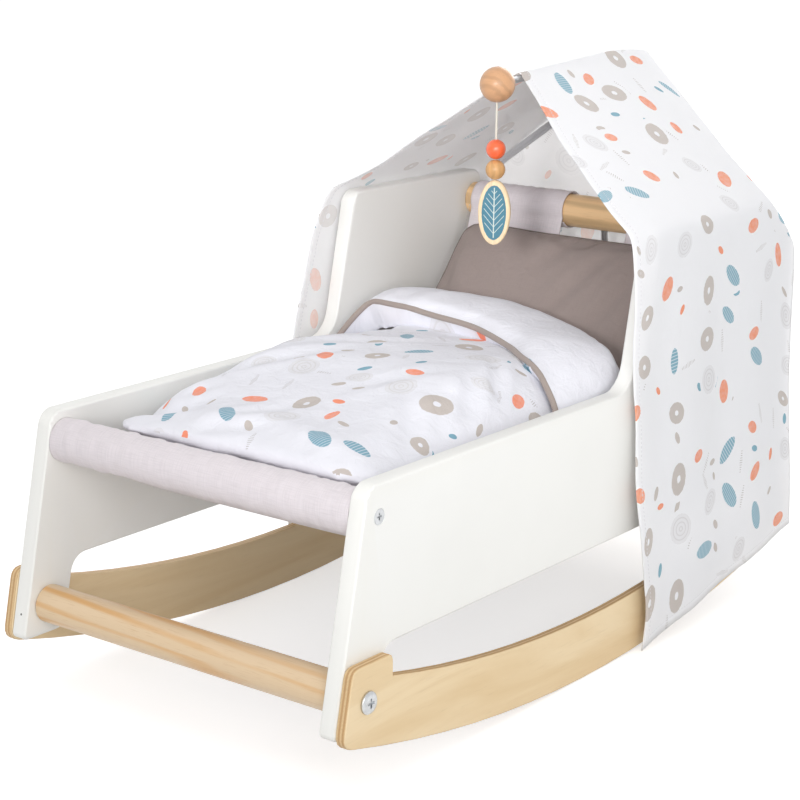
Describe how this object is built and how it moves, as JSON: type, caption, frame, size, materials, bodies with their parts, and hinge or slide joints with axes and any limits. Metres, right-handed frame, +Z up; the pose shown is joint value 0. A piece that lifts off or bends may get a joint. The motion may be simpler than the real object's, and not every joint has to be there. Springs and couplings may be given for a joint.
{
  "type": "doll cradle",
  "caption": "Rocking doll cradle with white side panels, bent plywood rockers, a cloth sling, a tent canopy on a bent rod, a hanging mobile, duvet and pillow",
  "frame": {"origin": "on the floor, midway between the rockers and midway along their length", "axes": "+X to the cradle's right seen from its foot end, +Y from the foot end to the head end, +Z up"},
  "size_m": [0.3016, 0.5398, 0.3914],
  "materials": {
    "lacquered_board": "satin white lacquer on board",
    "birch_plywood": "clear satin lacquer on birch plywood",
    "pine_dowel": "clear lacquer on pine",
    "beech": "clear lacquer on turned beech",
    "orange_paint": "satin orange paint on turned wood",
    "painted_disc": "blue painted face with a cream rim",
    "zinc_fastener": "bright zinc plate",
    "steel_rod": "bright drawn steel",
    "string": "twisted cotton string",
    "plain_cloth": "thin plain woven cotton",
    "printed_cloth": "thin woven cotton with a small scattered print",
    "printed_quilt": "filled cotton cover with a small scattered print and taupe piping",
    "taupe_cloth": "plain woven cotton"
  },
  "bodies": {
    "frame": {"left_side_panel": "lacquered_board", "right_side_panel": "lacquered_board", "left_rocker": "birch_plywood", "right_rocker": "birch_plywood", "front_lower_dowel": "pine_dowel", "rear_lower_dowel": "pine_dowel", "front_upper_rail": "pine_dowel", "rear_upper_rail": "pine_dowel", "left_front_rocker_bolt": "zinc_fastener", "left_rear_rocker_bolt": "zinc_fastener", "right_front_rocker_bolt": "zinc_fastener", "right_rear_rocker_bolt": "zinc_fastener", "left_front_rail_screw": "zinc_fastener", "left_rear_rail_screw": "zinc_fastener", "right_front_rail_screw": "zinc_fastener", "right_rear_rail_screw": "zinc_fastener", "sling": "plain_cloth"},
    "pole": {"canopy_pole": "steel_rod", "pole_ball": "beech"},
    "canopy_cloth": {"canopy": "printed_cloth"},
    "string_neck": {"mobile_string_neck": "string"},
    "hanging_string": {"mobile_string": "string"},
    "upper_bead": {"orange_bead": "orange_paint"},
    "lower_bead": {"natural_bead": "beech"},
    "pendant": {"leaf_pendant": "painted_disc"},
    "bed_cover": {"duvet": "printed_quilt"},
    "head_pillow": {"pillow": "taupe_cloth"}
  },
  "joints": [
    {"name": "pole_lift", "type": "slide", "parent": "frame", "child": "pole", "axis": [0, -0.1291, 0.9916], "range_m": [0, 0.235]},
    {"name": "canopy_lift", "type": "slide", "parent": "pole", "child": "canopy_cloth", "axis": [0, 0, 1], "range_m": [0, 0.42]},
    {"name": "mobile_swing_fore_aft", "type": "hinge", "parent": "pole", "child": "string_neck", "pos_m": [0, 0.0734, 0.3647], "axis": [1, 0, 0], "range_deg": [-35, 35]},
    {"name": "mobile_swing_sideways", "type": "hinge", "parent": "string_neck", "child": "hanging_string", "pos_m": [0, 0.0734, 0.3647], "axis": [0, 1, 0], "range_deg": [-35, 35]},
    {"name": "orange_bead_spin", "type": "hinge", "parent": "hanging_string", "child": "upper_bead", "pos_m": [0, 0.0734, 0.3321], "axis": [0, 0, 1], "continuous": true},
    {"name": "natural_bead_spin", "type": "hinge", "parent": "hanging_string", "child": "lower_bead", "pos_m": [0, 0.0734, 0.3178], "axis": [0, 0, 1], "continuous": true},
    {"name": "pendant_spin", "type": "hinge", "parent": "hanging_string", "child": "pendant", "pos_m": [0, 0.0734, 0.2875], "axis": [0, 0, 1], "continuous": true},
    {"name": "duvet_lift", "type": "slide", "parent": "frame", "child": "bed_cover", "axis": [0, -0.866, 0.5], "range_m": [0, 0.3]},
    {"name": "pillow_slide_out", "type": "slide", "parent": "frame", "child": "head_pillow", "axis": [0, -1, 0], "range_m": [0, 0.151]}
  ],
  "couplings": [
    {"joint": "pillow_slide_out", "follows": "duvet_lift", "ratio": 0.5}
  ]
}
